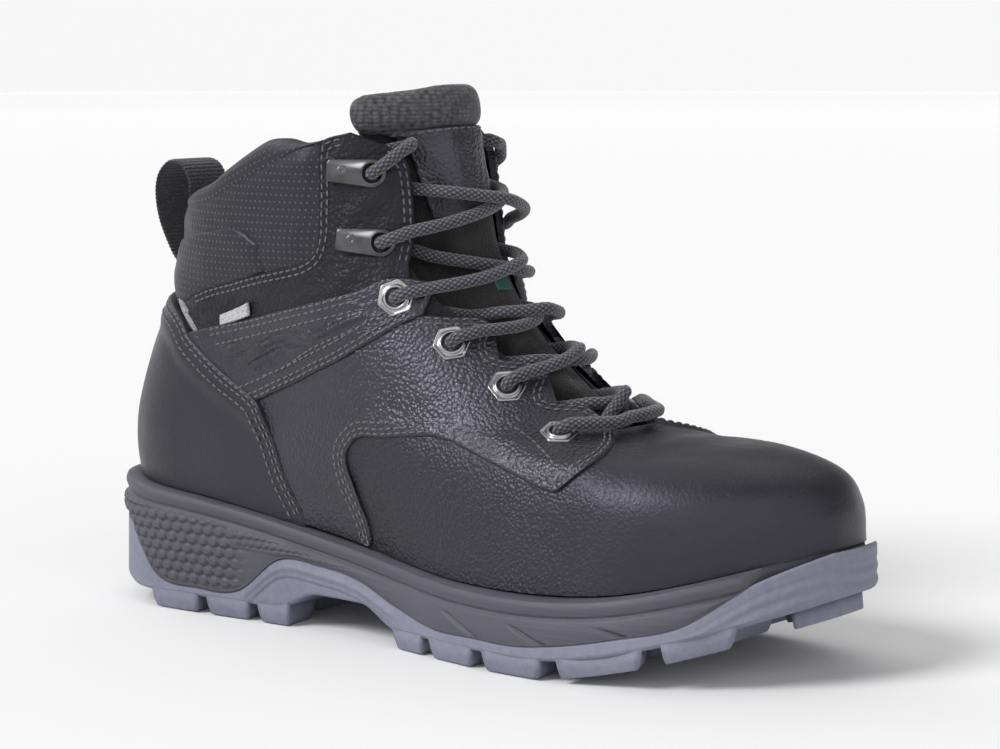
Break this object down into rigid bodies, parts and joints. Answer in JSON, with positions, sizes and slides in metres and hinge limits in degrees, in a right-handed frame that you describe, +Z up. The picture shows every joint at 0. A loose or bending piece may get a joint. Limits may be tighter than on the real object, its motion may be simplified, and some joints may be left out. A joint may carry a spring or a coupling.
{
  "type": "steel toe work boot",
  "caption": "Ankle-high lace-up work boot with a steel toe, padded collar and tongue, lugged two-tone sole and heel pull loop.",
  "frame": {"origin": "on the ground under the middle of the boot's overall box", "axes": "+X from heel to toe, +Y towards the inner (medial) side of this right boot, +Z up"},
  "size_m": [0.309, 0.1123, 0.1955],
  "materials": {
    "outsole_rubber": "matte, lightly textured",
    "midsole_foam": "matte moulded foam skin",
    "steel": "plain pressed steel",
    "fibre_board": "pressed fibre",
    "footbed_foam": "fabric-covered foam",
    "smooth_leather": "waxed, soft sheen",
    "grained_leather": "pebbled, soft sheen",
    "perforated_leather": "matte, finely perforated",
    "foam": "open-cell foam",
    "lining_fabric": "matte knit",
    "backing_fabric": "matte woven",
    "tongue_mesh": "padded mesh",
    "label_fabric": "woven",
    "nickel": "satin",
    "gunmetal": "satin dark plating",
    "webbing": "ribbed webbing",
    "tag_fabric": "woven",
    "piping": "reflective weave",
    "lace_cord": "braided",
    "aglet_plastic": "glossy"
  },
  "bodies": {
    "upper": {"outsole": "outsole_rubber", "midsole": "midsole_foam", "shank": "steel", "insole_board": "fibre_board", "vamp": "smooth_leather", "quarter_outer": "grained_leather", "quarter_inner": "grained_leather", "shaft_outer": "grained_leather", "shaft_inner": "grained_leather", "collar_panel_outer": "perforated_leather", "collar_panel_inner": "perforated_leather", "heel_counter": "smooth_leather", "toe_cap": "steel", "toe_cap_edge_pad": "foam", "counter_stiffener": "fibre_board", "vamp_lining": "lining_fabric", "lining_outer": "lining_fabric", "lining_inner": "lining_fabric", "collar_pad_outer": "foam", "collar_pad_inner": "foam", "eyestay_backing_outer": "backing_fabric", "eyestay_backing_inner": "backing_fabric", "eyelets_outer": "nickel", "eyelets_inner": "nickel", "eyelet_washers_outer": "nickel", "eyelet_washers_inner": "nickel", "lace_loops_outer": "gunmetal", "lace_loops_inner": "gunmetal", "loop_washers_outer": "gunmetal", "loop_washers_inner": "gunmetal", "side_tag": "tag_fabric", "heel_piping_outer": "piping", "heel_piping_inner": "piping", "lace": "lace_cord", "lace_end_outer": "lace_cord", "lace_end_inner": "lace_cord", "aglet_outer": "aglet_plastic", "aglet_inner": "aglet_plastic"},
    "tongue": {"tongue": "lining_fabric", "tongue_patch": "perforated_leather", "tongue_top": "tongue_mesh", "tongue_label": "label_fabric", "gusset_outer": "lining_fabric", "gusset_inner": "lining_fabric"},
    "pull_loop": {"pull_loop": "webbing"},
    "footbed": {"footbed": "footbed_foam"}
  },
  "joints": [
    {"name": "tongue_tilt", "type": "hinge", "parent": "upper", "child": "tongue", "pos_m": [0.062, 0, 0.08], "axis": [0, -1, 0], "range_deg": [0, 6]},
    {"name": "pull_loop_swing", "type": "hinge", "parent": "upper", "child": "pull_loop", "pos_m": [-0.1285, 0, 0.1235], "axis": [0, -1, 0], "range_deg": [0, 75], "stiffness_Nm_per_rad": 0.02},
    {"name": "footbed_lift", "type": "hinge", "parent": "upper", "child": "footbed", "pos_m": [0.142, 0, 0.047], "axis": [0, 1, 0], "range_deg": [0, 5]}
  ]
}
